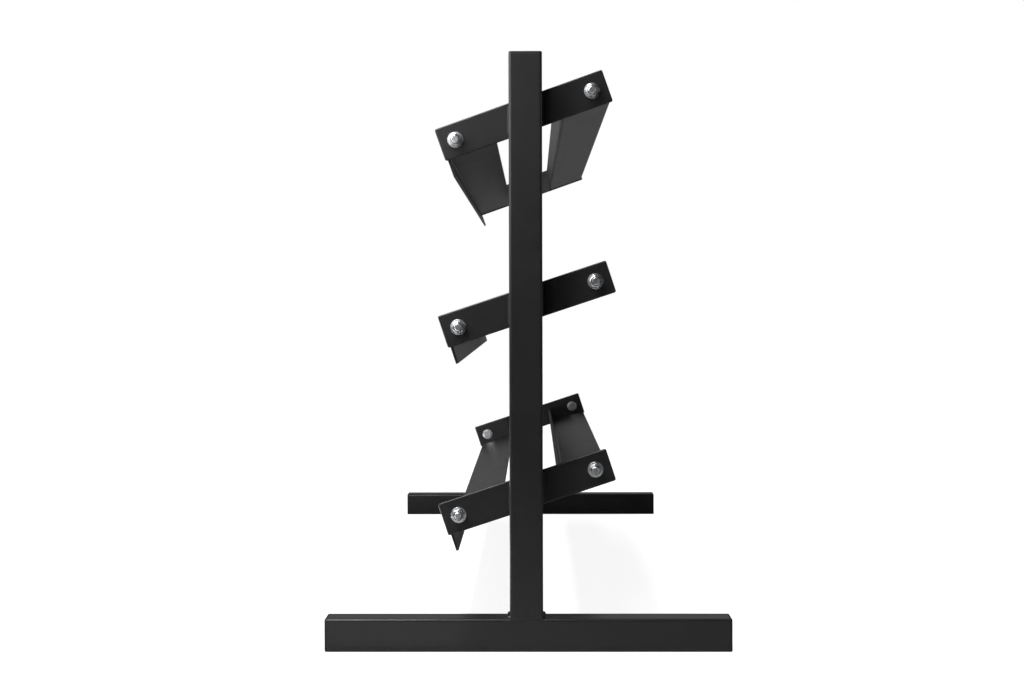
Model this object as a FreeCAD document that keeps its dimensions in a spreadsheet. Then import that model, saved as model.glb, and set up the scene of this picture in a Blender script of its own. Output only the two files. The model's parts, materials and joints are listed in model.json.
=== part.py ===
import FreeCAD, Part
import math
import os
import Sketcher

# Three-tier dumbbell rack. Units are millimetres and degrees.
# X runs along the rack, -Y is the front, where the sloping tiers are low, and +Z is up.
# The origin is on the floor, under the middle of the rack.
#
# Each tier is drawn in its own tier frame: X along the rack, Y up the slope and Z square to it,
# with the origin at the middle of the tier's brackets. One placement tilts and lifts the whole tier.

DIMENSIONS = {
    # frame of square tube: a post welded on a foot at each end
    "rack_length": 1750,
    "tube_width": 50,
    "tube_wall": 3,
    "tube_corner": 4,
    "foot_tube_length": 605,
    "post_tube_length": 845,
    # small offsets to the rear, left by welding: the posts from the feet's middle, the tiers from the posts'
    "post_offset": -2.5,
    "lower_offset": 1,
    "middle_offset": 1.4,
    "upper_offset": -2.8,
    # plastic end caps
    "cap_flange": 3.4,
    "cap_edge": 2.2,
    "cap_plug_depth": 20,
    "cap_plug_wall": 2.5,
    "cap_clearance": 0.2,
    # bracket: a flat bar welded across the inner face of the post
    "bracket_length": 270,
    "bracket_height": 51,
    "bracket_thickness": 5,
    "bracket_corner": 3,
    "bracket_edge": 2,
    "hole_inset": 25,
    "hole_diameter": 13,
    # tiers
    "lower_height": 235,
    "tier_pitch": 286.5,
    "shelf_tilt": 18.3,
    "upper_shelf_tilt": 19.5,
    # rails: folded plate, an L in section
    "rail_width": 80,
    "rail_lip": 33,
    "rail_thickness": 4,
    "rail_bend": 6,
    "rail_edge": 0.8,
    "rail_inset": 3.5,
    "rail_lift": 2,
    # end plates, welded across the rails' ends and bolted to the brackets
    "plate_width": 73,
    "plate_gap": 0.5,
    "plate_top_drop": 4.5,
    "plate_thickness": 5,
    # M12 fasteners
    "shank_diameter": 11.8,
    "shank_length": 30,
    "tip_chamfer": 1.4,
    "across_flats": 18,
    "head_height": 7.5,
    "nut_height": 12,
    "washer_diameter": 24,
    "washer_bore": 13,
    "washer_thickness": 2.5,
    # weld beads
    "weld_leg": 5,
    "seam_radius": 2.2,
    "seam_inset": 1.4,
    "seam_drop": 1.5,
    "bracket_weld_length": 44,
}

POST_X = "(dims.rack_length / 2 - dims.tube_width / 2)"
BRACKET_X = "(dims.rack_length / 2 - dims.tube_width - dims.bracket_thickness / 2)"
BRACKET_INSIDE = "(dims.rack_length / 2 - dims.tube_width - dims.bracket_thickness)"
RAIL_END = f"({BRACKET_INSIDE} - dims.plate_thickness)"
HOLE_Y = "(dims.bracket_length / 2 - dims.hole_inset)"
FLOOR_UNDERSIDE = "(-dims.bracket_height / 2 + dims.rail_lift)"
FLOOR_TOP = "(-dims.bracket_height / 2 + dims.rail_lift + dims.rail_thickness)"
FRONT_RAIL_START = "(-dims.bracket_length / 2 + dims.rail_inset)"
REAR_RAIL_START = "(dims.bracket_length / 2 - dims.rail_inset - dims.rail_width)"

SIDES = {"left": -1, "right": 1}
TIERS = ["lower", "middle", "upper"]
TILT = {"lower": "dims.shelf_tilt", "middle": "dims.shelf_tilt", "upper": "dims.upper_shelf_tilt"}
X_AXIS = FreeCAD.Vector(1, 0, 0)
Y_AXIS = FreeCAD.Vector(0, 1, 0)
Z_AXIS = FreeCAD.Vector(0, 0, 1)
NO_TURN = FreeCAD.Rotation()

doc = FreeCAD.newDocument("dumbbell_rack")
sub_parts = []


# ---------------------------------------------------------------- sheet, sketches and features

def make_sheet():
    """The driving dimensions, one aliased cell each."""
    sheet = doc.addObject("Spreadsheet::Sheet", "dims")
    for row, (name, value) in enumerate(DIMENSIONS.items(), start=1):
        sheet.set(f"A{row}", name)
        sheet.set(f"B{row}", str(value))
        sheet.setAlias(f"B{row}", name)
    doc.recompute()
    return sheet


def size(expression):
    """The number that an expression in the sheet's cells gives."""
    return float(sheet.evalExpression(expression.replace("dims.", "")))


def new_body(label):
    body = doc.addObject("PartDesign::Body", label)
    body.Label = label
    return body


def new_sketch(body, role, name):
    """An empty sketch on one of the body's own origin planes."""
    sketch = body.newObject("Sketcher::SketchObject", name)
    plane = [feature for feature in body.Origin.OriginFeatures if feature.Role == role][0]
    sketch.AttachmentSupport = [(plane, "")]
    sketch.MapMode = "FlatFace"
    return sketch


def hold_point(sketch, geometry, position, across, up):
    """Ties a sketch point to its two coordinates, given as expressions."""
    for kind, expression in (("DistanceX", across), ("DistanceY", up)):
        constraint = Sketcher.Constraint(kind, -1, 1, geometry, position, size(expression))
        index = sketch.addConstraint(constraint)
        sketch.setExpression(f"Constraints[{index}]", expression)


def outline(body, role, corners, name):
    """A closed outline of straight lines through corners, each a pair of expressions."""
    sketch = new_sketch(body, role, name)
    points = [FreeCAD.Vector(size(across), size(up), 0) for across, up in corners]
    count = len(points)
    for index in range(count):
        sketch.addGeometry(Part.LineSegment(points[index], points[(index + 1) % count]), False)
    for index in range(count):
        sketch.addConstraint(Sketcher.Constraint("Coincident", index, 2, (index + 1) % count, 1))
    for index, (across, up) in enumerate(corners):
        hold_point(sketch, index, 1, across, up)
    return sketch


def rectangle(low_across, high_across, low_up, high_up):
    """The corners of a rectangle, as outline takes them."""
    return [
        (low_across, low_up),
        (high_across, low_up),
        (high_across, high_up),
        (low_across, high_up),
    ]


def square(half_width):
    """The corners of a square about the origin."""
    return rectangle(f"-{half_width}", half_width, f"-{half_width}", half_width)


def circles(body, role, centres, diameter, name):
    """A sketch of equal circles."""
    sketch = new_sketch(body, role, name)
    radius = size(diameter) / 2
    for index, (across, up) in enumerate(centres):
        centre = FreeCAD.Vector(size(across), size(up), 0)
        sketch.addGeometry(Part.Circle(centre, Z_AXIS, radius), False)
        hold_point(sketch, index, 3, across, up)
        constraint = sketch.addConstraint(Sketcher.Constraint("Radius", index, radius))
        sketch.setExpression(f"Constraints[{constraint}]", f"{diameter} / 2")
    return sketch


def extrude(body, kind, sketch, length, name, side="One side", reverse=False):
    """A Pad or a Pocket of a sketch."""
    feature = body.newObject(f"PartDesign::{kind}", name)
    feature.Profile = sketch
    feature.SideType = side
    feature.Reversed = reverse
    feature.setExpression("Length", length)
    doc.recompute()
    return feature


def pocket(body, sketch, length, name, side="One side", reverse=False):
    """A Pocket that is known to have removed material."""
    before = body.Shape.Volume
    feature = extrude(body, "Pocket", sketch, length, name, side, reverse)
    if body.Shape.Volume >= before:
        raise RuntimeError(f"{name} removed nothing")
    return feature


def edge_names(shape, wanted):
    """The names of a shape's edges that a test accepts, by their two end points."""
    names = []
    for number, edge in enumerate(shape.Edges, start=1):
        if len(edge.Vertexes) != 2:
            continue
        start, end = [vertex.Point for vertex in edge.Vertexes]
        if wanted(start, end):
            names.append(f"Edge{number}")
    return names


def round_edges(body, base, wanted, radius, name):
    """A Fillet on the edges of a feature that a test accepts."""
    names = edge_names(base.Shape, wanted)
    if not names:
        raise RuntimeError(f"{name} found no edge")
    fillet = body.newObject("PartDesign::Fillet", name)
    fillet.Base = (base, names)
    fillet.setExpression("Radius", radius)
    doc.recompute()
    return fillet


def along(axis, *beside):
    """A test for edges that run along an axis, at the places given on other axes."""
    def wanted(start, end):
        if (end - start).normalize().cross(axis).Length > 1e-6:
            return False
        return all(abs(start.dot(other) - place) < 1e-4 for other, place in beside)
    return wanted


def all_near(places, axis):
    """A test for edges both of whose ends are at one of some places along an axis."""
    def wanted(start, end):
        return any(
            abs(start.dot(axis) - place) < 1e-4 and abs(end.dot(axis) - place) < 1e-4
            for place in places
        )
    return wanted


# ---------------------------------------------------------------- placing and grouping

def place(part, across="0", rearward="0", height="0", rotation=NO_TURN):
    """Gives a sub-part its placement, tied to the sheet, and puts it on the list."""
    part.Placement = FreeCAD.Placement(FreeCAD.Vector(), rotation)
    part.setExpression("Placement.Base.x", across)
    part.setExpression("Placement.Base.y", rearward)
    part.setExpression("Placement.Base.z", height)
    sub_parts.append(part)
    return part


def tier_middle(tier):
    """How far to the rear of the feet's middle a tier's middle is."""
    return f"dims.post_offset + dims.{tier}_offset"


def place_in_tier(part, tier, across="0"):
    """Puts a sub-part, drawn in the tier frame, on its tier."""
    height = f"dims.lower_height + {TIERS.index(tier)} * dims.tier_pitch"
    place(part, across, tier_middle(tier), height, FreeCAD.Rotation(X_AXIS, size(TILT[tier])))
    part.setExpression("Placement.Rotation.Angle", TILT[tier])
    return part


def group(label, shapes):
    """One sub-part made of several separate solids."""
    part = doc.addObject("Part::Feature", label)
    part.Label = label
    part.Shape = Part.makeCompound(shapes)
    return part


def copy_at(shape, position, rotation=NO_TURN):
    """A copy of a shape, turned about the origin and then moved."""
    copied = shape.copy()
    copied.Placement = FreeCAD.Placement(position, rotation).multiply(copied.Placement)
    return copied


# ---------------------------------------------------------------- frame

def make_tube(label, role, axis, length, side, reverse):
    """A square tube along an axis, with rounded corners inside and out."""
    tube = new_body(label)
    outside = outline(tube, role, square("dims.tube_width / 2"), f"{label}_outside")
    solid = extrude(tube, "Pad", outside, length, f"{label}_solid", side)
    round_edges(tube, solid, along(axis), "dims.tube_corner", f"{label}_corners")
    bore_half = "(dims.tube_width / 2 - dims.tube_wall)"
    inside = outline(tube, role, square(bore_half), f"{label}_inside")
    bore = pocket(tube, inside, length, f"{label}_bore", side, reverse)
    half = size(bore_half)
    cross = [direction for direction in (X_AXIS, Y_AXIS, Z_AXIS) if direction != axis]

    def bore_corner(start, end):
        if not along(axis)(start, end):
            return False
        return all(abs(abs(start.dot(direction)) - half) < 1e-4 for direction in cross)

    inner_radius = "dims.tube_corner - dims.tube_wall"
    round_edges(tube, bore, bore_corner, inner_radius, f"{label}_bore_corners")
    return tube


def make_post(side_name, side):
    """The upright at one end, standing on its foot."""
    post = make_tube(f"{side_name}_post", "XY_Plane", Z_AXIS, "dims.post_tube_length", "One side", True)
    return place(post, f"{side} * {POST_X}", "dims.post_offset", "dims.tube_width")


def make_foot(side_name, side):
    """The tube along the floor at one end."""
    foot = make_tube(f"{side_name}_foot", "XZ_Plane", Y_AXIS, "dims.foot_tube_length", "Symmetric", False)
    return place(foot, f"{side} * {POST_X}", "0", "dims.tube_width / 2")


def make_cap(label):
    """A plastic plug for a tube's end: a flange above the XY plane, and a hollow plug below it."""
    cap = new_body(label)
    flange = outline(cap, "XY_Plane", square("dims.tube_width / 2"), f"{label}_flange_outline")
    plate = extrude(cap, "Pad", flange, "dims.cap_flange", f"{label}_flange")
    cornered = round_edges(cap, plate, along(Z_AXIS), "dims.tube_corner", f"{label}_corners")
    top = all_near([size("dims.cap_flange")], Z_AXIS)
    round_edges(cap, cornered, top, "dims.cap_edge", f"{label}_edge")
    plug_half = "(dims.tube_width / 2 - dims.tube_wall - dims.cap_clearance)"
    plug_outline = outline(cap, "XY_Plane", square(plug_half), f"{label}_plug_outline")
    plug = extrude(cap, "Pad", plug_outline, "dims.cap_plug_depth", f"{label}_plug", reverse=True)
    half = size(plug_half)

    def plug_corner(start, end):
        return along(Z_AXIS)(start, end) and abs(abs(start.x) - half) < 1e-4

    round_edges(cap, plug, plug_corner, "dims.tube_corner - dims.tube_wall", f"{label}_plug_corners")
    hollow_half = "(dims.tube_width / 2 - dims.tube_wall - dims.cap_clearance - dims.cap_plug_wall)"
    hollow = outline(cap, "XY_Plane", square(hollow_half), f"{label}_hollow_outline")
    pocket(cap, hollow, "dims.cap_plug_depth", f"{label}_hollow")
    return cap


def make_caps(side_name, side):
    """The cap on the post and the two on the foot."""
    across = f"{side} * {POST_X}"
    post_cap = make_cap(f"{side_name}_post_cap")
    place(post_cap, across, "dims.post_offset", "dims.tube_width + dims.post_tube_length")
    for end_name, end in (("front", -1), ("rear", 1)):
        foot_cap = make_cap(f"{side_name}_foot_{end_name}_cap")
        outward = FreeCAD.Rotation(Z_AXIS, Y_AXIS * end)
        place(foot_cap, across, f"{end} * dims.foot_tube_length / 2", "dims.tube_width / 2", outward)


# ---------------------------------------------------------------- tiers

def make_bracket(side_name, side, tier):
    """A flat bar across the inner face of a post, with a bolt hole near each end."""
    label = f"{side_name}_{tier}_bracket"
    bracket = new_body(label)
    half_length = "dims.bracket_length / 2"
    half_height = "dims.bracket_height / 2"
    corners = rectangle(f"-{half_length}", half_length, f"-{half_height}", half_height)
    bar_outline = outline(bracket, "YZ_Plane", corners, f"{label}_outline")
    bar = extrude(bracket, "Pad", bar_outline, "dims.bracket_thickness", f"{label}_bar", "Symmetric")
    cornered = round_edges(bracket, bar, along(X_AXIS), "dims.bracket_corner", f"{label}_corners")
    faces = [size("dims.bracket_thickness / 2"), -size("dims.bracket_thickness / 2")]
    round_edges(bracket, cornered, all_near(faces, X_AXIS), "dims.bracket_edge", f"{label}_edges")
    centres = [(f"-{HOLE_Y}", "0"), (HOLE_Y, "0")]
    hole_sketch = circles(bracket, "YZ_Plane", centres, "dims.hole_diameter", f"{label}_hole_circles")
    pocket(bracket, hole_sketch, "dims.bracket_thickness", f"{label}_holes", "Symmetric")
    return place_in_tier(bracket, tier, f"{side} * {BRACKET_X}")


def make_rail(label, tier, corners, bend_outside, bend_inside):
    """A folded rail: an L in section, as long as the space between its end plates."""
    rail = new_body(label)
    section = outline(rail, "YZ_Plane", corners, f"{label}_section")
    sheet_metal = extrude(rail, "Pad", section, f"2 * {RAIL_END}", f"{label}_plate", "Symmetric")

    def at_corner(corner):
        return along(X_AXIS, (Y_AXIS, size(corner[0])), (Z_AXIS, size(corner[1])))

    bent = round_edges(rail, sheet_metal, at_corner(bend_outside), "dims.rail_bend", f"{label}_outer_bend")
    inner = "dims.rail_bend - dims.rail_thickness"
    bent = round_edges(rail, bent, at_corner(bend_inside), inner, f"{label}_inner_bend")
    free_corners = [corner for corner in corners if corner not in (bend_outside, bend_inside)]

    def free_edge(start, end):
        return any(at_corner(corner)(start, end) for corner in free_corners)

    round_edges(rail, bent, free_edge, "dims.rail_edge", f"{label}_edges")
    return place_in_tier(rail, tier)


def make_front_rail(tier):
    """The lower rail of a tier: its lip is folded down along its front edge."""
    start = FRONT_RAIL_START
    bend_outside = (start, FLOOR_TOP)
    bend_inside = (f"{start} + dims.rail_thickness", FLOOR_UNDERSIDE)
    lip_bottom = f"{FLOOR_TOP} - dims.rail_lip"
    corners = [
        bend_outside,
        (start, lip_bottom),
        (f"{start} + dims.rail_thickness", lip_bottom),
        bend_inside,
        (f"{start} + dims.rail_width", FLOOR_UNDERSIDE),
        (f"{start} + dims.rail_width", FLOOR_TOP),
    ]
    return make_rail(f"{tier}_front_rail", tier, corners, bend_outside, bend_inside)


def make_rear_rail(tier):
    """The higher rail of a tier: its lip is folded up along its front edge, as a stop."""
    start = REAR_RAIL_START
    bend_outside = (start, FLOOR_UNDERSIDE)
    bend_inside = (f"{start} + dims.rail_thickness", FLOOR_TOP)
    lip_top = f"{FLOOR_UNDERSIDE} + dims.rail_lip"
    corners = [
        bend_outside,
        (f"{start} + dims.rail_width", FLOOR_UNDERSIDE),
        (f"{start} + dims.rail_width", FLOOR_TOP),
        bend_inside,
        (f"{start} + dims.rail_thickness", lip_top),
        (start, lip_top),
    ]
    return make_rail(f"{tier}_rear_rail", tier, corners, bend_outside, bend_inside)


def make_end_plate(label, low_across, high_across, hole_across):
    """One end plate about the YZ plane, drawn in the tier frame, across the end of a rail."""
    plate = new_body(label)
    top = "(dims.bracket_height / 2 - dims.plate_top_drop)"
    corners = rectangle(low_across, high_across, FLOOR_UNDERSIDE, top)
    plate_outline = outline(plate, "YZ_Plane", corners, f"{label}_outline")
    blank = extrude(plate, "Pad", plate_outline, "dims.plate_thickness", f"{label}_blank", "Symmetric")
    top_corners = along(X_AXIS, (Z_AXIS, size(top)))
    round_edges(plate, blank, top_corners, "dims.bracket_corner", f"{label}_corners")
    hole = circles(plate, "YZ_Plane", [(hole_across, "0")], "dims.hole_diameter", f"{label}_circle")
    pocket(plate, hole, "dims.plate_thickness", f"{label}_hole", "Symmetric")
    return plate.Shape


def make_end_plates(tier, front_plate, rear_plate):
    """The four end plates of a tier's two rails."""
    across = size(f"{RAIL_END} + dims.plate_thickness / 2")
    shapes = [
        copy_at(plate, FreeCAD.Vector(side * across, 0, 0))
        for side in SIDES.values()
        for plate in (front_plate, rear_plate)
    ]
    return place_in_tier(group(f"{tier}_end_plates", shapes), tier)


# ---------------------------------------------------------------- fasteners

def make_cylinder(name, radius, length, start="0"):
    """A cylinder along X."""
    cylinder = doc.addObject("Part::Cylinder", name)
    cylinder.Placement = FreeCAD.Placement(FreeCAD.Vector(), FreeCAD.Rotation(Z_AXIS, X_AXIS))
    cylinder.setExpression("Radius", radius)
    cylinder.setExpression("Height", length)
    cylinder.setExpression("Placement.Base.x", start)
    return cylinder


def make_hexagon(name, length, start="0"):
    """A hexagonal prism along X, with two flats level."""
    prism = doc.addObject("Part::Prism", name)
    prism.Polygon = 6
    prism.Placement = FreeCAD.Placement(FreeCAD.Vector(), FreeCAD.Rotation(Z_AXIS, X_AXIS))
    prism.setExpression("Circumradius", "dims.across_flats / sqrt(3)")
    prism.setExpression("Height", length)
    prism.setExpression("Placement.Base.x", start)
    return prism


def make_ring(name, outer, bore, length):
    """An outer shape with a round bore through it."""
    ring = doc.addObject("Part::Cut", name)
    ring.Base = outer
    ring.Tool = make_cylinder(f"{name}_bore", f"{bore} / 2", length)
    return ring


def make_bolt():
    """A hexagon bolt along X: its head ends at the YZ plane, and its shank points to +X."""
    head = make_hexagon("bolt_head", "dims.head_height", "-dims.head_height")
    plain = "(dims.shank_length - dims.tip_chamfer)"
    shank = make_cylinder("bolt_shank", "dims.shank_diameter / 2", plain)
    tip = doc.addObject("Part::Cone", "bolt_tip")
    tip.Placement = FreeCAD.Placement(FreeCAD.Vector(), FreeCAD.Rotation(Z_AXIS, X_AXIS))
    tip.setExpression("Radius1", "dims.shank_diameter / 2")
    tip.setExpression("Radius2", "dims.shank_diameter / 2 - dims.tip_chamfer")
    tip.setExpression("Height", "dims.tip_chamfer")
    tip.setExpression("Placement.Base.x", plain)
    bolt = doc.addObject("Part::MultiFuse", "bolt")
    bolt.Shapes = [head, shank, tip]
    doc.recompute()
    return bolt.Shape


def make_washer():
    """A flat washer from the YZ plane to +X."""
    disc = make_cylinder("washer_disc", "dims.washer_diameter / 2", "dims.washer_thickness")
    washer = make_ring("washer", disc, "dims.washer_bore", "dims.washer_thickness")
    doc.recompute()
    return washer.Shape


def make_nut():
    """A lock nut from the YZ plane to +X, bored to the shank."""
    prism = make_hexagon("nut_prism", "dims.nut_height")
    nut = make_ring("nut", prism, "dims.shank_diameter", "dims.nut_height")
    doc.recompute()
    return nut.Shape


def at_each_hole(shape, distance):
    """Copies of a fastener at a tier's four bolt holes, so far from the middle, pointing outwards."""
    copies = []
    for side in SIDES.values():
        outward = FreeCAD.Rotation(Z_AXIS, 0 if side > 0 else 180)
        for hole in (-size(HOLE_Y), size(HOLE_Y)):
            copies.append(copy_at(shape, FreeCAD.Vector(side * distance, hole, 0), outward))
    return copies


def make_fasteners(tier, bolt, washer, nut):
    """A tier's bolts, with their heads inside, and their washers and nuts."""
    washer_thickness = size("dims.washer_thickness")
    bracket_outside = size(f"{BRACKET_INSIDE} + dims.bracket_thickness")
    head_seat = size(RAIL_END) - washer_thickness
    nut_seat = bracket_outside + washer_thickness
    place_in_tier(group(f"{tier}_bolts", at_each_hole(bolt, head_seat)), tier)
    place_in_tier(group(f"{tier}_inner_washers", at_each_hole(washer, head_seat)), tier)
    place_in_tier(group(f"{tier}_outer_washers", at_each_hole(washer, bracket_outside)), tier)
    place_in_tier(group(f"{tier}_nuts", at_each_hole(nut, nut_seat)), tier)


# ---------------------------------------------------------------- welds

def make_bead(label, role, length):
    """A fillet weld: a right-angled triangle, with its square corner at the origin."""
    bead = new_body(label)
    corners = [("0", "0"), ("dims.weld_leg", "0"), ("0", "dims.weld_leg")]
    triangle = outline(bead, role, corners, f"{label}_outline")
    extrude(bead, "Pad", triangle, length, f"{label}_run", "Symmetric")
    return bead.Shape


def cut_from(label, shapes, neighbours):
    """A sub-part of weld beads, trimmed to the surfaces that they join."""
    blank = group(f"{label}_blank", shapes)
    solids = doc.addObject("Part::Compound", f"{label}_neighbours")
    solids.Links = neighbours
    welds = doc.addObject("Part::Cut", label)
    welds.Label = label
    welds.Base = blank
    welds.Tool = solids
    sub_parts.append(welds)
    return welds


def make_foot_weld(side_name, side, post, foot, bead):
    """The weld round the base of a post: a fillet at the front and rear, a seam on each flat side."""
    centre = side * size(POST_X)
    middle = size("dims.post_offset")
    top = size("dims.tube_width")
    half = size("dims.tube_width / 2")
    run = size("dims.tube_width - 2 * dims.tube_corner")
    seam_offset = half - size("dims.seam_inset")
    seam_radius = size("dims.seam_radius")
    shapes = []
    for turn, direction in ((0, 1), (180, -1)):
        corner = FreeCAD.Vector(centre, middle + direction * half, top)
        shapes.append(copy_at(bead, corner, FreeCAD.Rotation(Z_AXIS, turn)))
        height = top - size("dims.seam_drop")
        start = FreeCAD.Vector(centre + direction * seam_offset, middle - run / 2, height)
        shapes.append(Part.makeCylinder(seam_radius, run, start, Y_AXIS))
    return cut_from(f"{side_name}_foot_weld", shapes, [post, foot])


def make_bracket_welds(side_name, side, post, bead):
    """The vertical fillets between a post's two edges and its three brackets."""
    face = side * size(f"{BRACKET_INSIDE} + dims.bracket_thickness")
    shapes = []
    for index, tier in enumerate(TIERS):
        height = size(f"dims.lower_height + {index} * dims.tier_pitch")
        for direction in (-1, 1):
            edge = size(f"dims.post_offset + {direction} * dims.tube_width / 2")
            rise = (edge - size(tier_middle(tier))) * math.tan(math.radians(size(TILT[tier])))
            corner = FreeCAD.Vector(face, edge, height + rise)
            turn = {(1, 1): 0, (-1, 1): 90, (-1, -1): 180, (1, -1): 270}[(side, direction)]
            shapes.append(copy_at(bead, corner, FreeCAD.Rotation(Z_AXIS, turn)))
    return cut_from(f"{side_name}_bracket_welds", shapes, [post])


# ---------------------------------------------------------------- the whole rack

def make_rack():
    for side_name, side in SIDES.items():
        make_post(side_name, side)
        make_foot(side_name, side)
        make_caps(side_name, side)
        for tier in TIERS:
            make_bracket(side_name, side, tier)
    front_low = f"{FRONT_RAIL_START} + dims.rail_bend + dims.plate_gap"
    front_plate = make_end_plate(
        "front_end_plate", front_low, f"{front_low} + dims.plate_width", f"-{HOLE_Y}"
    )
    rear_high = f"{REAR_RAIL_START} + dims.rail_width - dims.plate_gap"
    rear_plate = make_end_plate(
        "rear_end_plate", f"{rear_high} - dims.plate_width", rear_high, HOLE_Y
    )
    bolt = make_bolt()
    washer = make_washer()
    nut = make_nut()
    for tier in TIERS:
        make_front_rail(tier)
        make_rear_rail(tier)
        make_end_plates(tier, front_plate, rear_plate)
        make_fasteners(tier, bolt, washer, nut)
    doc.recompute()
    foot_bead = make_bead("foot_bead", "YZ_Plane", "dims.tube_width - 2 * dims.tube_corner")
    bracket_bead = make_bead("bracket_bead", "XY_Plane", "dims.bracket_weld_length")
    for side_name, side in SIDES.items():
        post = doc.getObject(f"{side_name}_post")
        foot = doc.getObject(f"{side_name}_foot")
        make_foot_weld(side_name, side, post, foot, foot_bead)
        make_bracket_welds(side_name, side, post, bracket_bead)
    doc.recompute()


def check_and_write():
    """Stops on a failed object or a bad shape, and otherwise writes one file for each sub-part."""
    for item in doc.Objects:
        if "Invalid" in item.State or "Error" in item.State:
            raise RuntimeError(f"{item.Label} failed: {item.State}")
    for part in sub_parts:
        if part.Shape.isNull() or not part.Shape.isValid():
            raise RuntimeError(f"{part.Label} has a bad shape")
    os.makedirs("parts", exist_ok=True)
    for part in sub_parts:
        part.Shape.exportStep(f"parts/{part.Label}.step")
        box = part.Shape.BoundBox
        print(f"{part.Label}: {len(part.Shape.Solids)} solid(s), {part.Shape.Volume:.0f} mm3, "
              f"{box.XLength:.1f} x {box.YLength:.1f} x {box.ZLength:.1f} mm")


sheet = make_sheet()
make_rack()
check_and_write()
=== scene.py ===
import json
import math
import random

import bmesh
import bpy
from mathutils import Matrix, Vector, noise


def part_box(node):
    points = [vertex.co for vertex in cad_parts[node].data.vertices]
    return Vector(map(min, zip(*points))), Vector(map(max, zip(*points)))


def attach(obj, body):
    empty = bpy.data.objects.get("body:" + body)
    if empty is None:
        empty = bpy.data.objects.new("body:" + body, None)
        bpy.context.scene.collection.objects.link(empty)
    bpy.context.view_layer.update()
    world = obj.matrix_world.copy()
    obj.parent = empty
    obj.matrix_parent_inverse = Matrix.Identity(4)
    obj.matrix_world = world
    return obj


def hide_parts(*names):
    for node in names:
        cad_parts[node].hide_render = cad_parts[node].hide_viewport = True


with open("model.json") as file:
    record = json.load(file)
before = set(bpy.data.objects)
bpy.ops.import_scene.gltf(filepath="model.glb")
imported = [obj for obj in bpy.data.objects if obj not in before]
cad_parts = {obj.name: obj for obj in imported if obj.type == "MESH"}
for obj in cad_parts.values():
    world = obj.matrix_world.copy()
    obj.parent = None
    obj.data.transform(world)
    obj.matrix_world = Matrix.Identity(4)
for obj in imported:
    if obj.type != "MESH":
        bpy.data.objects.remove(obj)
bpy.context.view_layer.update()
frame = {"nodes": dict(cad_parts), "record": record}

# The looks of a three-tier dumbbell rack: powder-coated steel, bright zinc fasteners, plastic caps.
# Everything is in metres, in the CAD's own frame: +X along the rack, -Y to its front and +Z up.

TIERS = ("lower", "middle", "upper")
SIDES = {"left": -1, "right": 1}
BODY = "root"
MM = 0.001
UP = Vector((0, 0, 1))
QUARTER_TURN = math.pi / 2
FULL_TURN = 2 * math.pi

# washers, nuts and bolt heads, for an M12 thread
WASHER_RADIUS = 12 * MM
WASHER_BORE_RADIUS = 6.5 * MM
WASHER_THICKNESS = 2.5 * MM
ACROSS_FLATS = 18 * MM
HEX_FLAT = ACROSS_FLATS / 2
HEX_CORNER = ACROSS_FLATS / math.sqrt(3)
HEX_CROWN = HEX_FLAT * 0.93
HEAD_HEIGHT = 7.5 * MM
NUT_HEIGHT = 12 * MM
NUT_HEXAGON_HEIGHT = 8.6 * MM
NYLON_RADIUS = 6.9 * MM

# the thread
THREAD_RADIUS = 5.9 * MM
THREAD_PITCH = 1.75 * MM
THREAD_DEPTH = 0.9 * MM
THREAD_LENGTH = 8 * MM
TIP_CHAMFER = 1.4 * MM

# weld beads
WELD_LEG = 5 * MM
WELD_RIPPLE = 2.1 * MM
BRACKET_WELD_LENGTH = 44 * MM
BRACKET_BEAD_LEG = 3.0 * MM
BRACKET_RIPPLE = 2.0 * MM
SEAM_DEPTH = 1.7 * MM
SEAM_HALF_HEIGHT = 3.0 * MM
SEAM_RIPPLE = 2.6 * MM
TUBE_CORNER = 4 * MM

# how finely round shapes are divided
RING_POINTS = 96
ROLL_STEPS = 6
SEAT_STEPS = 5
CROWN_STEPS = 8
COLLAR_STEPS = 7
THREAD_STEPS = 64
BEAD_STEPS = 8
SEAM_STEPS = 10
BEAD_SPACING = 0.35 * MM


# ---------------------------------------------------------------- meshes

def add_piece(name, builder, material, slot, *nodes):
    """A new piece made of a bmesh, riding on the rack and standing for CAD nodes."""
    mesh = bpy.data.meshes.new(name)
    builder.to_mesh(mesh)
    builder.free()
    piece = bpy.data.objects.new(name, mesh)
    bpy.context.scene.collection.objects.link(piece)
    mesh.materials.append(material)
    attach(piece, BODY)
    if nodes:
        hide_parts(*nodes)


def add_skin(builder, rows, closed_ring):
    """Skins rows of points with quads. The rows close into a ring, or else end in two caps."""
    rings = [[builder.verts.new(point) for point in row] for row in rows]
    count = len(rings[0])
    last_row = len(rings) if closed_ring else len(rings) - 1
    for index in range(last_row):
        near = rings[index]
        far = rings[(index + 1) % len(rings)]
        for column in range(count):
            beside = (column + 1) % count
            builder.faces.new((near[column], near[beside], far[beside], far[column]))
    if not closed_ring:
        builder.faces.new(list(reversed(rings[0])))
        builder.faces.new(rings[-1])


def smooth_by_angle(builder, degrees):
    """Smooth shading, with the edges sharper than an angle left crisp."""
    builder.normal_update()
    limit = math.radians(degrees)
    for face in builder.faces:
        face.smooth = True
    for edge in builder.edges:
        if len(edge.link_faces) == 2 and edge.calc_face_angle(0) > limit:
            edge.smooth = False


# ---------------------------------------------------------------- fasteners

def turned_ring(axial, radius_at):
    """A ring of points round the X axis, with a radius that may change with the angle."""
    ring = []
    for step in range(RING_POINTS):
        angle = FULL_TURN * step / RING_POINTS
        radius = radius_at(angle)
        ring.append(Vector((axial, radius * math.cos(angle), radius * math.sin(angle))))
    return ring


def round_ring(axial, radius):
    return turned_ring(axial, lambda angle: radius)


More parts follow.
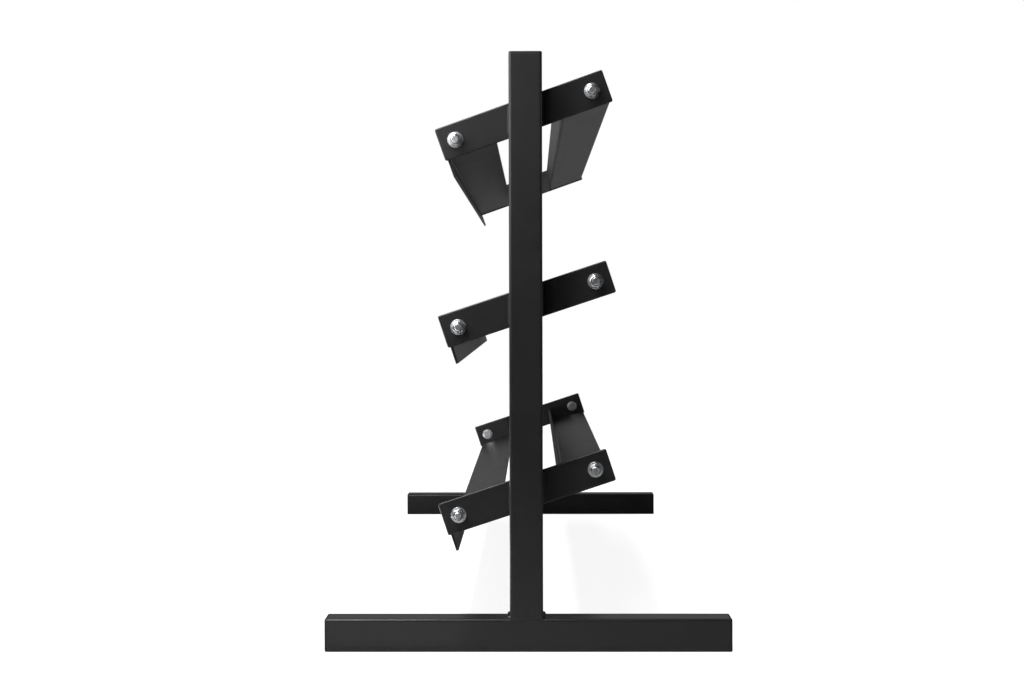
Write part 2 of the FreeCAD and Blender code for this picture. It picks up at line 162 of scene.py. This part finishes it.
def hexagon_ring(axial, limit):
    """A ring that follows the hexagon, but goes no further out than a limit."""
    def radius(angle):
        sector = math.pi / 3
        from_flat = (angle + sector / 2) % sector - sector / 2
        return min(HEX_FLAT / math.cos(from_flat), limit)
    return turned_ring(axial, radius)


def crown_ring(axial, share):
    """A hexagon's ring on its crowned end: share 0 has full corners and share 1 is the round rim."""
    return hexagon_ring(axial, HEX_CORNER - (HEX_CORNER - HEX_CROWN) * share ** 2)


def thread_ring(axial, limit):
    """A ring across a thread with sloping flanks, but no further out than a limit."""
    flank_slope = 3.2
    root_share = 0.3

    def radius(angle):
        phase = (axial / THREAD_PITCH - angle / FULL_TURN) % 1
        flank = min(1, max(0, abs(phase - 0.5) * flank_slope - root_share))
        return min(THREAD_RADIUS - THREAD_DEPTH * (1 - flank), limit)
    return turned_ring(axial, radius)


def washer_rows():
    """A stamped washer from x = 0 outwards: a rolled rim on its outer face, broken edges elsewhere."""
    roll = 0.55 * MM
    bore_roll = 0.3 * MM
    bore_break = 0.2 * MM
    rim_break = 0.25 * MM
    loop = []
    for step in range(ROLL_STEPS + 1):
        turn = QUARTER_TURN * step / ROLL_STEPS
        axial = WASHER_THICKNESS - roll + roll * math.sin(turn)
        loop.append((axial, WASHER_RADIUS - roll + roll * math.cos(turn)))
    loop += [
        (WASHER_THICKNESS, (WASHER_RADIUS + WASHER_BORE_RADIUS) / 2),
        (WASHER_THICKNESS, WASHER_BORE_RADIUS + bore_roll),
        (WASHER_THICKNESS - bore_roll, WASHER_BORE_RADIUS),
        (bore_break, WASHER_BORE_RADIUS),
        (0, WASHER_BORE_RADIUS + bore_break),
        (0, WASHER_RADIUS - rim_break),
        (rim_break, WASHER_RADIUS),
    ]
    return [round_ring(axial, radius) for axial, radius in loop]


def nut_hexagon_rows():
    """A lock nut's hexagon from its seat at x = 0, chamfered below and crowned above."""
    seat_radius = HEX_FLAT * 0.97
    seat_lift = 0.05 * MM
    seat_chamfer = 0.9 * MM
    crown_height = 1.6 * MM
    rows = [round_ring(0, THREAD_RADIUS), hexagon_ring(0, seat_radius)]
    for step in range(SEAT_STEPS + 1):
        share = step / SEAT_STEPS
        limit = seat_radius + (HEX_CORNER - seat_radius) * share
        rows.append(hexagon_ring(seat_lift + seat_chamfer * share, limit))
    for step in range(CROWN_STEPS + 1):
        share = step / CROWN_STEPS
        rows.append(crown_ring(NUT_HEXAGON_HEIGHT - crown_height * (1 - share), share))
    return rows


def nut_collar_rows():
    """The round collar above the hexagon, crimped over and hollowed for the nylon ring."""
    collar = HEX_FLAT * 0.88
    crimp = 0.8 * MM
    groove_bottom = NUT_HEXAGON_HEIGHT - 0.7 * MM
    recess_rim = NUT_HEIGHT - 0.1 * MM
    recess_bottom = NUT_HEIGHT - 1.4 * MM
    rows = [
        round_ring(NUT_HEXAGON_HEIGHT, collar + 0.5 * MM),
        round_ring(groove_bottom, collar + 0.2 * MM),
        round_ring(groove_bottom, collar),
    ]
    for step in range(COLLAR_STEPS + 1):
        turn = QUARTER_TURN * step / COLLAR_STEPS
        axial = NUT_HEIGHT - crimp + crimp * math.sin(turn)
        rows.append(round_ring(axial, collar - crimp + crimp * math.cos(turn)))
    rows += [
        round_ring(recess_rim, NYLON_RADIUS),
        round_ring(recess_bottom, NYLON_RADIUS - 0.1 * MM),
        round_ring(recess_bottom, THREAD_RADIUS),
    ]
    return rows


def nylon_rows():
    """The nylon ring sunk in a lock nut's collar, measured from the nut's seat."""
    top = NUT_HEIGHT - 0.9 * MM
    bottom = NUT_HEIGHT - 1.6 * MM
    clearance = 0.1 * MM
    chamfer = 0.2 * MM
    inner = THREAD_RADIUS + clearance
    outer = NYLON_RADIUS + clearance
    loop = [
        (bottom, inner),
        (top - chamfer, inner),
        (top, inner + chamfer),
        (top, outer),
        (bottom, outer),
    ]
    return [round_ring(axial, radius) for axial, radius in loop]


def bolt_rows(length):
    """A bolt from its head's seat at x = 0, head on the -X side, threaded tip at x = length."""
    end_radius = 0.4 * MM
    crown_height = 1.5 * MM
    hexagon_end = -0.5 * MM
    boss_start = -0.45 * MM
    thread_start = length - THREAD_LENGTH
    rows = [
        round_ring(-HEAD_HEIGHT, end_radius),
        round_ring(-HEAD_HEIGHT, HEX_FLAT * 0.9),
    ]
    for step in range(CROWN_STEPS + 1):
        share = step / CROWN_STEPS
        rows.append(crown_ring(-HEAD_HEIGHT + crown_height * share, 1 - share))
    rows += [
        hexagon_ring(hexagon_end, HEX_CORNER),
        round_ring(boss_start, HEX_FLAT * 0.95),
        round_ring(0, HEX_FLAT * 0.94),
        round_ring(0, THREAD_RADIUS),
        round_ring(thread_start, THREAD_RADIUS),
    ]
    for step in range(1, THREAD_STEPS + 1):
        axial = thread_start + THREAD_LENGTH * step / THREAD_STEPS
        taper = max(0, axial - (length - TIP_CHAMFER))
        rows.append(thread_ring(axial, THREAD_RADIUS - taper))
    rows.append(round_ring(length, end_radius))
    return rows


def hole_centres(tier):
    """The (y, z) of a tier's front and rear bolts."""
    low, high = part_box(f"{tier}_outer_washers")
    front = (low.y + WASHER_RADIUS, low.z + WASHER_RADIUS)
    rear = (high.y - WASHER_RADIUS, high.z - WASHER_RADIUS)
    return front, rear


def outward(side, distance, centre, turn):
    """Places a fastener modelled along +X so that it points away from the rack's middle."""
    y, z = centre
    facing = Matrix.Rotation(0 if side > 0 else math.pi, 4, "Z")
    return Matrix.Translation((side * distance, y, z)) @ facing @ Matrix.Rotation(turn, 4, "X")


def make_fasteners(tier, zinc, nylon):
    """A tier's four sets of bolt, washers and lock nut, each turned as it was left by the spanner."""
    washer_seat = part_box(f"{tier}_inner_washers")[1].x - WASHER_THICKNESS
    bracket_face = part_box(f"{tier}_outer_washers")[1].x - WASHER_THICKNESS
    nut_seat = bracket_face + WASHER_THICKNESS
    bolt_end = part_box(f"{tier}_bolts")[1].x
    kinds = {
        "bolts": (washer_seat, bolt_rows(bolt_end - washer_seat)),
        "inner_washers": (washer_seat, washer_rows()),
        "outer_washers": (bracket_face, washer_rows()),
        "nuts": (nut_seat, nut_hexagon_rows() + nut_collar_rows()),
        "nylon_rings": (nut_seat, nylon_rows()),
    }
    builders = {kind: bmesh.new() for kind in kinds}
    chance = random.Random(f"{tier} fasteners")
    for side in SIDES.values():
        for centre in hole_centres(tier):
            for kind, (seat, rows) in kinds.items():
                placement = outward(side, seat, centre, chance.uniform(0, FULL_TURN))
                placed = [[placement @ point for point in row] for row in rows]
                add_skin(builders[kind], placed, closed_ring=kind != "bolts")
    for kind, builder in builders.items():
        bmesh.ops.recalc_face_normals(builder, faces=builder.faces)
        smooth_by_angle(builder, 28)
        if kind == "nylon_rings":
            add_piece(f"{tier}_{kind}", builder, nylon, "cap_plastic")
        else:
            add_piece(f"{tier}_{kind}_detailed", builder, zinc, "zinc_plate", f"{tier}_{kind}")


# ---------------------------------------------------------------- weld beads

def stations_along(start, end):
    """Evenly spaced places along a bead: each one's centre, how far it has come and how far is left."""
    start = Vector(start)
    run = Vector(end) - start
    count = int(run.length / BEAD_SPACING)
    for station in range(count + 1):
        travel = run.length * station / count
        yield start + run * (station / count), travel, run.length - travel


def end_taper(nearer_end, length, least):
    """How full a bead is near one of its ends, up to 1."""
    return math.sqrt(min(1, max(least, nearer_end / length)))


def bead_rows(start, end, side_a, side_b, leg, ripple, seed):
    """A rippled fillet bead between two points, filling the corner between two outward directions."""
    root_sink = 0.4 * MM
    ripple_lag = 0.9 * MM
    wander_pace = 160
    rows = []
    for centre, travel, remaining in stations_along(start, end):
        taper = end_taper(min(travel, remaining), leg * 0.6, 0.02)
        wander = noise.noise(Vector((travel * wander_pace, seed, 0.3)))
        row = [centre - (side_a + side_b) * root_sink]
        for step in range(BEAD_STEPS + 1):
            turn = QUARTER_TURN * step / BEAD_STEPS
            belly = math.sin(2 * turn)
            wave = abs(math.sin(math.pi * (travel + belly * ripple_lag) / ripple + wander))
            fullness = 0.80 + 0.09 * belly + 0.09 * wave * belly + 0.05 * wander
            chord = 1 / (math.cos(turn) + math.sin(turn)) + 0.22 * belly
            direction = side_a * math.cos(turn) + side_b * math.sin(turn)
            row.append(centre + direction * leg * taper * fullness * chord)
        rows.append(row)
    return rows


def seam_rows(start, end, outwards, ripple, seed):
    """A low rippled bead that fills the groove where two flush faces meet."""
    root_sink = 1.2 * MM
    ripple_lag = 0.8 * MM
    wander_pace = 190
    wander_height = 0.5 * MM
    taper_length = 3 * MM
    rows = []
    for middle, travel, remaining in stations_along(start, end):
        taper = end_taper(min(travel, remaining), taper_length, 0.05)
        wander = noise.noise(Vector((travel * wander_pace, seed, 0.7)))
        centre = middle + UP * wander * wander_height
        row = [centre - outwards * root_sink]
        for step in range(SEAM_STEPS + 1):
            turn = math.pi * step / SEAM_STEPS - QUARTER_TURN
            lag = math.cos(turn) * ripple_lag
            wave = abs(math.sin(math.pi * (travel + lag) / ripple + wander))
            depth = SEAM_DEPTH * taper * (0.80 + 0.20 * wave) * math.cos(turn)
            row.append(centre + outwards * depth + UP * SEAM_HALF_HEIGHT * math.sin(turn))
        rows.append(row)
    return rows


def finish_beads(name, builder, coat, node):
    """Turns a bmesh full of beads into the piece that stands for a weld's CAD node."""
    bmesh.ops.recalc_face_normals(builder, faces=builder.faces)
    smooth_by_angle(builder, 60)
    add_piece(name, builder, coat, "powder_coat", node)


def make_foot_weld(side_name, side, coat):
    """The weld round a post's base: fillets in front and behind, flush seams on the two sides."""
    low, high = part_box(f"{side_name}_post")
    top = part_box(f"{side_name}_foot")[1].z
    fillet_inset = TUBE_CORNER * 0.4
    seam_inset = TUBE_CORNER * 0.3
    seam_depth = 1.0 * MM
    seam_drop = 1.2 * MM
    builder = bmesh.new()
    for direction in (1, -1):
        edge = high.y if direction > 0 else low.y
        start = (low.x + fillet_inset, edge, top)
        end = (high.x - fillet_inset, edge, top)
        outwards = Vector((0, direction, 0))
        rows = bead_rows(start, end, outwards, UP, WELD_LEG, WELD_RIPPLE, seed=3 * side + direction)
        add_skin(builder, rows, closed_ring=False)
        face = high.x if direction > 0 else low.x
        inside = face - direction * seam_depth
        start = (inside, low.y + seam_inset, top - seam_drop)
        end = (inside, high.y - seam_inset, top - seam_drop)
        sideways = Vector((direction, 0, 0))
        rows = seam_rows(start, end, sideways, SEAM_RIPPLE, seed=7 * side + direction)
        add_skin(builder, rows, closed_ring=False)
    finish_beads(f"{side_name}_foot_weld_beads", builder, coat, f"{side_name}_foot_weld")


def make_bracket_welds(side_name, side, coat):
    """The upright beads where each sloping bracket crosses the two edges of a post."""
    low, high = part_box(f"{side_name}_post")
    outwards = Vector((side, 0, 0))
    builder = bmesh.new()
    for tier in TIERS:
        bracket_low, bracket_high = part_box(f"{side_name}_{tier}_bracket")
        face = bracket_high.x if side > 0 else bracket_low.x
        middle_y = (bracket_low.y + bracket_high.y) / 2
        middle_z = (bracket_low.z + bracket_high.z) / 2
        front_hole, rear_hole = hole_centres(tier)
        slope = (rear_hole[1] - front_hole[1]) / (rear_hole[0] - front_hole[0])
        for direction in (1, -1):
            edge = high.y if direction > 0 else low.y
            centre = middle_z + slope * (edge - middle_y)
            start = (face, edge, centre - BRACKET_WELD_LENGTH / 2)
            end = (face, edge, centre + BRACKET_WELD_LENGTH / 2)
            beside = Vector((0, direction, 0))
            seed = 11 * side + direction
            rows = bead_rows(start, end, beside, outwards, BRACKET_BEAD_LEG, BRACKET_RIPPLE, seed)
            add_skin(builder, rows, closed_ring=False)
    finish_beads(f"{side_name}_bracket_weld_beads", builder, coat, f"{side_name}_bracket_welds")


# ---------------------------------------------------------------- materials

# Renders show a thin dark line wherever roughness crosses about 0.27, so every finish stays above it.
COAT_ROUGHNESS = (0.28, 0.32)
ZINC_ROUGHNESS = (0.28, 0.36)
PLASTIC_ROUGHNESS = (0.52, 0.64)

COAT_COLOURS = ((0.0225, 0.0225, 0.0238), (0.0285, 0.0285, 0.0300))
COAT_EDGE_COLOUR = (0.045, 0.045, 0.048, 1)
ZINC_COLOURS = ((0.80, 0.81, 0.83), (0.93, 0.94, 0.96))
PLASTIC_COLOURS = ((0.011, 0.011, 0.012), (0.021, 0.021, 0.022))
WHITE = (1, 1, 1, 1)


class Nodes:
    """Short calls for building a material's node tree."""

    def __init__(self, material):
        material.use_nodes = True
        self.tree = material.node_tree
        self.tree.nodes.clear()
        self.output = self.add("ShaderNodeOutputMaterial")
        self.shader = self.add("ShaderNodeBsdfPrincipled")
        self.link(self.shader, "BSDF", self.output, "Surface")
        self.place = self.add("ShaderNodeTexCoord")

    def add(self, kind, **settings):
        node = self.tree.nodes.new(kind)
        for name, value in settings.items():
            setattr(node, name, value)
        return node

    def link(self, source, output, target, socket):
        self.tree.links.new(source.outputs[output], target.inputs[socket])

    def noise(self, scale, detail, roughness=0.5):
        texture = self.add("ShaderNodeTexNoise")
        texture.inputs["Scale"].default_value = scale
        texture.inputs["Detail"].default_value = detail
        texture.inputs["Roughness"].default_value = roughness
        self.link(self.place, "Object", texture, "Vector")
        return texture

    def span(self, source, output, low, high, results=(0.0, 1.0)):
        """Maps a value that runs from low to high onto a pair of results, clamped."""
        node = self.add("ShaderNodeMapRange")
        node.inputs["From Min"].default_value = low
        node.inputs["From Max"].default_value = high
        node.inputs["To Min"].default_value = results[0]
        node.inputs["To Max"].default_value = results[1]
        self.link(source, output, node, "Value")
        return node

    def colours(self, texture, pair):
        """A colour between two, chosen by a noise texture."""
        ramp = self.add("ShaderNodeValToRGB")
        for element, colour in zip(ramp.color_ramp.elements, pair):
            element.color = (*colour, 1)
        self.link(texture, "Fac", ramp, "Fac")
        return ramp

    def edges(self, radius):
        """How near a point is to a sharp edge, from 0 on a flat to 1 on the edge."""
        bevel = self.add("ShaderNodeBevel", samples=6)
        bevel.inputs["Radius"].default_value = radius
        geometry = self.add("ShaderNodeNewGeometry")
        product = self.add("ShaderNodeVectorMath", operation="DOT_PRODUCT")
        self.link(bevel, "Normal", product, 0)
        self.link(geometry, "Normal", product, 1)
        return self.span(product, "Value", 0.995, 0.80)

    def bump(self, texture, strength, distance, under=None):
        """A bump from a noise texture, on top of another bump if one is given."""
        node = self.add("ShaderNodeBump")
        node.inputs["Strength"].default_value = strength
        node.inputs["Distance"].default_value = distance
        self.link(texture, "Fac", node, "Height")
        if under:
            self.link(under, "Normal", node, "Normal")
        return node


def powder_coat():
    """Satin black powder coat: fine orange peel, faint mottling, and thin spots along the edges."""
    material = bpy.data.materials.new("satin_black_powder_coat")
    nodes = Nodes(material)
    peel = nodes.noise(scale=460, detail=2.0)
    grit = nodes.noise(scale=1500, detail=1.0)
    mottle = nodes.noise(scale=26, detail=3.0)
    tone = nodes.colours(mottle, COAT_COLOURS)
    wear = nodes.edges(radius=0.9 * MM)
    mix = nodes.add("ShaderNodeMix", data_type="RGBA")
    mix.inputs["B"].default_value = COAT_EDGE_COLOUR
    nodes.link(wear, "Result", mix, "Factor")
    nodes.link(tone, "Color", mix, "A")
    nodes.link(mix, "Result", nodes.shader, "Base Color")
    gloss = nodes.span(mottle, "Fac", 0.25, 0.75, COAT_ROUGHNESS)
    nodes.link(gloss, "Result", nodes.shader, "Roughness")
    fine = nodes.bump(grit, strength=0.10, distance=0.01 * MM)
    coarse = nodes.bump(peel, strength=0.25, distance=0.02 * MM, under=fine)
    nodes.link(coarse, "Normal", nodes.shader, "Normal")
    return material


def zinc_plate():
    """Bright zinc: slightly blue grey metal with fine plating grain and duller patches."""
    material = bpy.data.materials.new("bright_zinc_plate")
    nodes = Nodes(material)
    grain = nodes.noise(scale=1900, detail=2.0)
    patch = nodes.noise(scale=210, detail=4.0, roughness=0.65)
    tone = nodes.colours(patch, ZINC_COLOURS)
    nodes.link(tone, "Color", nodes.shader, "Base Color")
    nodes.shader.inputs["Metallic"].default_value = 1.0
    gloss = nodes.span(patch, "Fac", 0.3, 0.7, ZINC_ROUGHNESS)
    nodes.link(gloss, "Result", nodes.shader, "Roughness")
    bump = nodes.bump(grain, strength=0.20, distance=0.01 * MM)
    nodes.link(bump, "Normal", nodes.shader, "Normal")
    return material


def cap_plastic():
    """Matt black moulded plastic with a fine spark-eroded texture and faint scuffs."""
    material = bpy.data.materials.new("matt_black_plastic")
    nodes = Nodes(material)
    grain = nodes.noise(scale=1500, detail=2.0)
    scuff = nodes.noise(scale=55, detail=5.0, roughness=0.7)
    tone = nodes.colours(scuff, PLASTIC_COLOURS)
    nodes.link(tone, "Color", nodes.shader, "Base Color")
    gloss = nodes.span(scuff, "Fac", 0.3, 0.7, PLASTIC_ROUGHNESS)
    nodes.link(gloss, "Result", nodes.shader, "Roughness")
    bump = nodes.bump(grain, strength=0.4, distance=0.03 * MM)
    nodes.link(bump, "Normal", nodes.shader, "Normal")
    return material


def paint_cad_nodes(coat, plastic):
    """Gives every carried-over CAD node its finish."""
    finishes = {"powder_coat": coat, "cap_plastic": plastic}
    for entry in frame["record"]["subparts"]:
        finish = finishes.get(entry["material_slot"])
        if finish is None:
            continue
        for socket in frame["nodes"][entry["node"]].material_slots:
            socket.material = finish


# ---------------------------------------------------------------- studio

FLOOR_RADIUS = 3.5
PAPER_RADIUS = 2.4
PAPER_DROP = 0.5 * MM
GLOW_HEIGHT = 4 * MM

CAMERA_PLACE = (3.4508, 0.00965, 0.5216)
CAMERA_HEADING = 0.73
CAMERA_DIP = 1.238
CAMERA_ROLL = -0.148
FOCAL_LENGTH = 60.69
SENSOR_WIDTH = 36
VIEW_LIMIT = 100


def add_stage_disc(name, radius, material):
    """A flat round floor, which isn't part of the rack."""
    builder = bmesh.new()
    bmesh.ops.create_circle(builder, cap_ends=True, segments=RING_POINTS, radius=radius)
    mesh = bpy.data.meshes.new(name)
    builder.to_mesh(mesh)
    builder.free()
    mesh.materials.append(material)
    disc = bpy.data.objects.new(name, mesh)
    bpy.context.scene.collection.objects.link(disc)
    return disc


def floor_paper(name, low, high, glow):
    """Pale matt paper with a very faint drift in tone, and a glow of its own where it is backlit."""
    material = bpy.data.materials.new(name)
    nodes = Nodes(material)
    drift = nodes.noise(scale=1.5, detail=3.0)
    tone = nodes.colours(drift, ((low, low, low), (high, high, high)))
    nodes.link(tone, "Color", nodes.shader, "Base Color")
    nodes.shader.inputs["Roughness"].default_value = 0.9
    nodes.shader.inputs["Specular IOR Level"].default_value = 0.1
    nodes.shader.inputs["Emission Color"].default_value = WHITE
    nodes.shader.inputs["Emission Strength"].default_value = glow
    return material


def make_floor():
    """A backlit white floor for the camera, and just below it the paper that the rack's coat mirrors."""
    seen = add_stage_disc("floor", FLOOR_RADIUS, floor_paper("backlit_floor", 0.085, 0.095, glow=0.91))
    seen.visible_diffuse = False
    seen.visible_glossy = False
    seen.visible_shadow = False
    mirrored = add_stage_disc("floor_paper", PAPER_RADIUS, floor_paper("paper_floor", 0.58, 0.62, glow=0.0))
    mirrored.visible_camera = False
    mirrored.location.z = -PAPER_DROP
    return seen


def add_area_light(name, place, target, size, watts):
    """A softbox that the camera doesn't see, aimed at a target. Its size is (width, height)."""
    light = bpy.data.lights.new(name, "AREA")
    light.shape = "RECTANGLE"
    light.size, light.size_y = size
    light.energy = watts
    lamp = bpy.data.objects.new(name, light)
    lamp.location = place
    lamp.rotation_euler = (Vector(target) - Vector(place)).to_track_quat("-Z", "Y").to_euler()
    lamp.visible_camera = False
    bpy.context.scene.collection.objects.link(lamp)
    return lamp


def add_floor_glow(name, low, high, radiance):
    """A patch of floor between two (x, y) corners that shines up at the rack."""
    width = high[0] - low[0]
    depth = high[1] - low[1]
    middle = ((low[0] + high[0]) / 2, (low[1] + high[1]) / 2)
    watts = math.pi * width * depth * radiance
    lamp = add_area_light(name, (*middle, GLOW_HEIGHT), (*middle, 1), (width, depth), watts)
    lamp.rotation_euler = (math.pi, 0, 0)


def light_only(lamp, receiver):
    """Keeps a lamp's light to one object, which the rack still shades."""
    collection = bpy.data.collections.new(f"{lamp.name}_receivers")
    collection.objects.link(receiver)
    lamp.light_linking.receiver_collection = collection


def make_world():
    """A white backdrop for the camera. The lamps alone light the rack."""
    world = bpy.data.worlds.new("studio")
    bpy.context.scene.world = world
    world.use_nodes = True
    background = world.node_tree.nodes["Background"]
    background.inputs["Color"].default_value = WHITE
    background.inputs["Strength"].default_value = 1.0
    for rays in ("diffuse", "glossy", "transmission", "scatter"):
        setattr(world.cycles_visibility, rays, False)
    bpy.context.scene.view_settings.view_transform = "Standard"


def make_lights(floor):
    """Softboxes up and to the camera's left, weak ones all round, and the floor's own glow."""
    post_foot = (0.88, 0, 0)
    upper_post = (0.85, 0, 0.75)
    middle_post = (0.85, 0, 0.5)
    rack_middle = (0, 0, 0.5)
    add_area_light("near_key", (1.2, -0.6, 0.95), upper_post, size=(0.7, 0.7), watts=4.2)
    add_area_light("high_key", (1.1, -0.5, 1.3), upper_post, size=(0.6, 0.6), watts=5.0)
    add_area_light("overhead_key", (1.5, -0.6, 2.4), post_foot, size=(0.7, 0.7), watts=20)
    add_area_light("far_key", (4.21, -0.96, 1.37), middle_post, size=(0.5, 0.5), watts=4.2)
    add_area_light("camera_fill", (4.31, -0.49, 1.37), middle_post, size=(0.5, 0.5), watts=0.55)
    add_area_light("back_panel", (-6, 0, 1.5), rack_middle, size=(8, 5), watts=18)
    add_area_light("back_box", (-3.8, 0, 1.5), rack_middle, size=(3, 2), watts=1.2)
    add_area_light("left_box", (0.3, -3.2, 1.2), rack_middle, size=(2.5, 1.8), watts=8)
    add_area_light("right_box", (0.3, 3.2, 1.2), rack_middle, size=(2.5, 1.8), watts=8)
    add_area_light("top_box", (0, 0, 3.4), rack_middle, size=(3, 3), watts=4)
    add_floor_glow("left_glow", (-0.8, -1.6), (0.8, -0.5), radiance=4.5)
    add_floor_glow("back_glow", (-1.9, -0.8), (-0.9, 0.8), radiance=0.15)
    add_floor_glow("front_glow", (0.9, -0.8), (1.4, -0.1), radiance=0.2)
    floor_light = add_area_light("floor_light", (0, -0.3, 3.2), (0, 0, 0), size=(8.0, 0.35), watts=600)
    light_only(floor_light, floor)


def make_camera():
    """The camera stands beyond the rack's right end and looks along it, turned and dipped in degrees."""
    lens = bpy.data.cameras.new("camera")
    lens.sensor_width = SENSOR_WIDTH
    lens.lens = FOCAL_LENGTH
    lens.clip_end = VIEW_LIMIT
    camera = bpy.data.objects.new("camera", lens)
    heading = Matrix.Rotation(math.radians(90 + CAMERA_HEADING), 4, "Z")
    tilt = Matrix.Rotation(math.radians(90 - CAMERA_DIP), 4, "X")
    roll = Matrix.Rotation(math.radians(CAMERA_ROLL), 4, "Z")
    camera.matrix_world = Matrix.Translation(CAMERA_PLACE) @ heading @ tilt @ roll
    bpy.context.scene.collection.objects.link(camera)
    bpy.context.scene.camera = camera


# ---------------------------------------------------------------- the scene

coat = powder_coat()
zinc = zinc_plate()
plastic = cap_plastic()
paint_cad_nodes(coat, plastic)
for tier in TIERS:
    make_fasteners(tier, zinc, plastic)
for side_name, side in SIDES.items():
    make_foot_weld(side_name, side, coat)
    make_bracket_welds(side_name, side, coat)
floor = make_floor()
make_world()
make_lights(floor)
make_camera()
